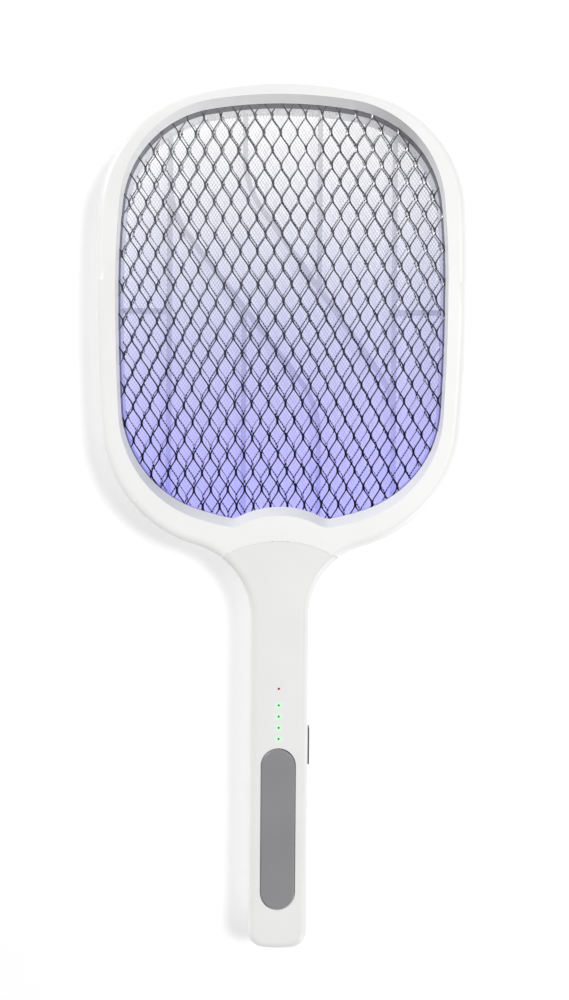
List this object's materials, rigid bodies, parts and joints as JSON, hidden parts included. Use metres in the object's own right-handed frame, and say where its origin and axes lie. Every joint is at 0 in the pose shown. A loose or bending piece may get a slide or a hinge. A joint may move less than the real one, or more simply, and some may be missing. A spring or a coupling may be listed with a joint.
{
  "type": "electric fly swatter",
  "caption": "Racket-shaped electric fly swatter with a layered metal mesh head, violet lure lamp, flared neck and straight handle with press button and side switch.",
  "frame": {"origin": "under the middle of the length and width, on the plane the back rests on", "axes": "+X width, +Y along the handle towards the head, +Z out of the front face"},
  "size_m": [0.2144, 0.5, 0.0328],
  "materials": {
    "white_shell": "satin white ABS",
    "guard_plastic": "satin pale grey ABS",
    "spacer_plastic": "insulating grey plastic",
    "mesh_metal": "expanded aluminium alloy sheet",
    "inner_mesh_metal": "expanded aluminium alloy sheet",
    "clear_plastic": "clear acrylic",
    "circuit_green": "coated glass-fibre circuit board",
    "lamp_white_board": "white-coated circuit board",
    "violet_diode": "lit violet light-emitting diode",
    "button_grey": "fine satin grey plastic",
    "knob_dark": "satin dark grey plastic",
    "switch_black": "moulded black plastic",
    "spring_steel": "drawn spring wire",
    "switch_metal": "pressed tinned steel",
    "red_pipe": "lit red tinted acrylic",
    "green_pipe": "lit green tinted acrylic",
    "chip_white": "moulded diode package",
    "ferrite": "sintered ferrite",
    "winding_tape": "copper winding under yellow tape",
    "capacitor_film": "dipped film capacitor",
    "component_black": "moulded component body",
    "resistor_blue": "lacquered resistor body",
    "cell_wrap": "heat-shrunk wrap on a metal cell",
    "nickel": "nickel-plated strip",
    "screw_steel": "zinc-plated steel",
    "wire_insulation": "soft insulation",
    "lamp_wire_insulation": "soft insulation"
  },
  "bodies": {
    "casing": {"front_frame": "white_shell", "rear_frame": "white_shell", "rear_guard": "guard_plastic", "front_mesh": "mesh_metal", "rear_mesh": "mesh_metal", "high_voltage_mesh": "inner_mesh_metal", "front_spacer": "spacer_plastic", "rear_spacer": "spacer_plastic", "lamp_lens": "clear_plastic", "lamp_board": "lamp_white_board", "lamp_leds": "violet_diode", "handle_front_shell": "white_shell", "handle_rear_shell": "white_shell", "push_switch": "switch_black", "button_springs": "spring_steel", "slide_switch": "switch_metal", "red_light_pipe": "red_pipe", "green_light_pipe": "green_pipe", "indicator_leds": "chip_white", "circuit_board": "circuit_green", "transformer_core": "ferrite", "transformer_coil": "winding_tape", "storage_capacitors": "capacitor_film", "rectifier_diodes": "component_black", "bleed_resistors": "resistor_blue", "drive_transistor": "component_black", "battery_cell": "cell_wrap", "battery_tabs": "nickel", "charging_socket": "switch_metal", "socket_tongue": "switch_black", "mesh_wires": "wire_insulation", "lamp_wires": "lamp_wire_insulation", "head_screws": "screw_steel", "handle_screws": "screw_steel"},
    "button": {"shock_button": "button_grey", "push_plunger": "switch_black"},
    "slider": {"slide_knob": "knob_dark", "slide_lever": "switch_black"}
  },
  "joints": [
    {"name": "button_press", "type": "slide", "parent": "casing", "child": "button", "axis": [0, 0, -1], "range_m": [0, 0.001], "stiffness_N_per_m": 500, "springref_m": -0.003, "deforming": ["button_springs"]},
    {"name": "side_switch", "type": "slide", "parent": "casing", "child": "slider", "axis": [0, 1, 0], "range_m": [0, 0.004]}
  ]
}
